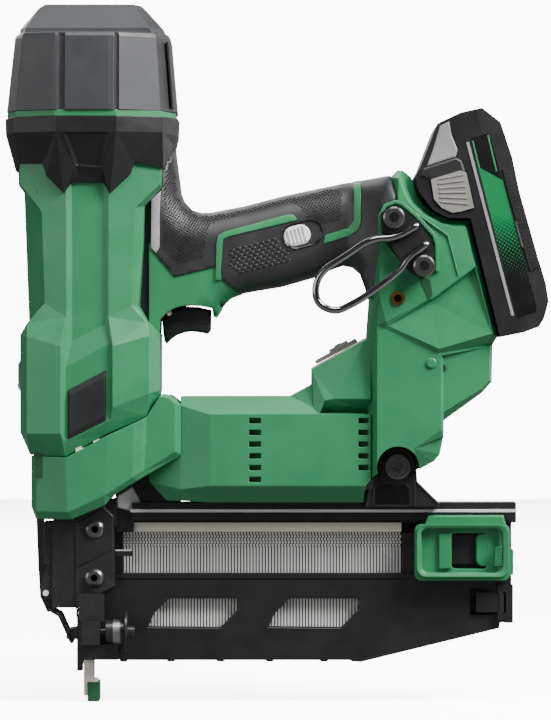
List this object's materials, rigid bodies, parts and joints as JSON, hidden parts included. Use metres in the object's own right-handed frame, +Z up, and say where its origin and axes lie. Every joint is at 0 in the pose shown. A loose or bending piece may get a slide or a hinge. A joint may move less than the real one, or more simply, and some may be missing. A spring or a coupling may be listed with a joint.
{
  "type": "cordless brad nailer",
  "caption": "Cordless nailer with an upright air-spring head, D-handle, slide-on battery, motor pod, straight magazine with pusher, belt hook and pressed nose tip.",
  "frame": {"origin": "nose tip where the nail leaves, on the work surface and on the drive axis", "axes": "+Z up along the drive axis to the head cap, +X back to the battery, -Y the tool's left side"},
  "size_m": [0.2781, 0.0932, 0.359],
  "materials": {
    "green_housing": "satin moulded green plastic",
    "black_housing": "fine-textured black moulded plastic",
    "black_elastomer": "over-moulded elastomer with a fine knurl",
    "blackened_steel": "black oxide steel",
    "bright_steel": "bright ground steel",
    "aluminium": "cast aluminium",
    "brass": "turned brass",
    "green_soft": "soft green rubber",
    "pale_slider": "pale ribbed plastic",
    "copper": "lacquered copper windings on laminated steel",
    "board": "potted circuit board",
    "grey_plastic": "grey moulded plastic",
    "bumper_rubber": "dense bumper rubber"
  },
  "bodies": {
    "housing": {"bearings": "bright_steel", "belt_hook": "blackened_steel", "control_panel": "grey_plastic", "controller_board": "board", "drive_frame": "aluminium", "front_block": "blackened_steel", "gearbox": "aluminium", "grip_skins": "black_elastomer", "hanging_insert": "brass", "head_cap": "black_housing", "head_collar": "black_housing", "head_housing_left": "green_housing", "head_housing_right": "green_housing", "head_ring": "green_housing", "hinge_pins": "bright_steel", "hook_plate": "black_housing", "magazine_body": "black_housing", "magazine_brackets": "blackened_steel", "magazine_cover": "black_housing", "main_housing_left": "green_housing", "main_housing_right": "green_housing", "motor_stator": "copper", "nail_rail": "bright_steel", "nail_strip": "bright_steel", "nose_block": "blackened_steel", "nose_housing_left": "green_housing", "nose_housing_right": "green_housing", "piston_bumper": "bumper_rubber", "pressure_tank": "aluminium", "screws_and_bolts": "blackened_steel", "side_pads": "black_elastomer", "terminal_block": "grey_plastic", "trigger_switch": "grey_plastic", "work_lamp": "grey_plastic", "working_cylinder": "aluminium"},
    "trigger": {"trigger": "black_housing"},
    "lock_slide": {"lock_slide": "pale_slider"},
    "contact_arm": {"contact_arm": "bright_steel", "soft_tip": "green_soft", "depth_carrier": "blackened_steel"},
    "depth_dial": {"depth_dial": "blackened_steel"},
    "latch_lever": {"latch_lever": "blackened_steel"},
    "wire_bail": {"wire_bail": "blackened_steel"},
    "nose_door": {"nose_door": "blackened_steel"},
    "nail_stop": {"nail_stop": "black_housing"},
    "pusher": {"pusher": "green_housing", "pusher_foot": "black_housing", "pusher_spring": "bright_steel"},
    "piston": {"piston": "aluminium", "piston_rings": "bright_steel", "driver_blade": "bright_steel"},
    "lifting_wheel": {"lifting_wheel": "bright_steel", "drive_gear": "bright_steel"},
    "drive_pinion": {"drive_pinion": "bright_steel"},
    "motor_rotor": {"motor_rotor": "bright_steel"},
    "battery": {"battery_inner_case": "black_housing", "battery_outer_case": "black_housing", "battery_cells": "bright_steel"},
    "battery_button_left": {"battery_button_left": "grey_plastic"},
    "battery_button_right": {"battery_button_right": "grey_plastic"}
  },
  "joints": [
    {"name": "trigger_pull", "type": "hinge", "parent": "housing", "child": "trigger", "pos_m": [0.041, 0, 0.2005], "axis": [0, -1, 0], "range_deg": [0, 7], "stiffness_Nm_per_rad": 0.5, "springref_deg": -14.32},
    {"name": "lock_slide_travel", "type": "slide", "parent": "housing", "child": "lock_slide", "axis": [0.9681, 0, 0.2504], "range_m": [0, 0.006]},
    {"name": "contact_push", "type": "slide", "parent": "housing", "child": "contact_arm", "axis": [0, 0, 1], "range_m": [0, 0.009], "stiffness_N_per_m": 500, "springref_m": -0.02},
    {"name": "dial_turn", "type": "hinge", "parent": "contact_arm", "child": "depth_dial", "pos_m": [0, -0.0175, 0.0365], "axis": [1, 0, 0], "range_deg": [-170, 170]},
    {"name": "latch_turn", "type": "hinge", "parent": "housing", "child": "latch_lever", "pos_m": [-0.0225, 0, 0.056], "axis": [0, -1, 0], "range_deg": [0, 60]},
    {"name": "bail_swing", "type": "hinge", "parent": "latch_lever", "child": "wire_bail", "pos_m": [-0.0205, 0, 0.0475], "axis": [0, 1, 0], "range_deg": [0, 113.2]},
    {"name": "door_swing", "type": "hinge", "parent": "housing", "child": "nose_door", "pos_m": [-0.0052, 0, 0.0455], "axis": [0, 1, 0], "range_deg": [0, 25.2]},
    {"name": "nail_stop_press", "type": "hinge", "parent": "housing", "child": "nail_stop", "pos_m": [0.2125, -0.0074, 0.051], "axis": [0, 0, -1], "range_deg": [0, 8], "stiffness_Nm_per_rad": 0.05, "springref_deg": -17.19},
    {"name": "pusher_slide", "type": "slide", "parent": "housing", "child": "pusher", "axis": [-1, 0, 0], "range_m": [0, 0.144], "deforming": ["nail_strip"]},
    {"name": "piston_stroke", "type": "slide", "parent": "housing", "child": "piston", "axis": [0, 0, -1], "range_m": [0, 0.078]},
    {"name": "wheel_turn", "type": "hinge", "parent": "housing", "child": "lifting_wheel", "pos_m": [0, -0.0175, 0.13], "axis": [-1, 0, 0], "range_deg": [0, 358]},
    {"name": "pinion_turn", "type": "hinge", "parent": "housing", "child": "drive_pinion", "pos_m": [0, 0, 0.13], "axis": [1, 0, 0], "range_deg": [0, 537]},
    {"name": "rotor_turn", "type": "hinge", "parent": "housing", "child": "motor_rotor", "pos_m": [0, 0, 0.13], "axis": [1, 0, 0], "range_deg": [0, 2146]},
    {"name": "battery_slide", "type": "slide", "parent": "housing", "child": "battery", "axis": [-0.2351, 0, 0.972], "range_m": [0, 0.06]},
    {"name": "button_left_press", "type": "slide", "parent": "battery", "child": "battery_button_left", "axis": [0, 1, 0], "range_m": [0, 0.0025], "stiffness_N_per_m": 800, "springref_m": -0.004},
    {"name": "button_right_press", "type": "slide", "parent": "battery", "child": "battery_button_right", "axis": [0, -1, 0], "range_m": [0, 0.0025], "stiffness_N_per_m": 800, "springref_m": -0.004}
  ],
  "couplings": [
    {"joint": "bail_swing", "follows": "latch_turn", "ratio": 1.8833},
    {"joint": "door_swing", "follows": "latch_turn", "ratio": 0.4167},
    {"joint": "wheel_turn", "follows": "piston_stroke", "rad_per_m": 80},
    {"joint": "pinion_turn", "follows": "piston_stroke", "rad_per_m": 120},
    {"joint": "rotor_turn", "follows": "piston_stroke", "rad_per_m": 480}
  ]
}
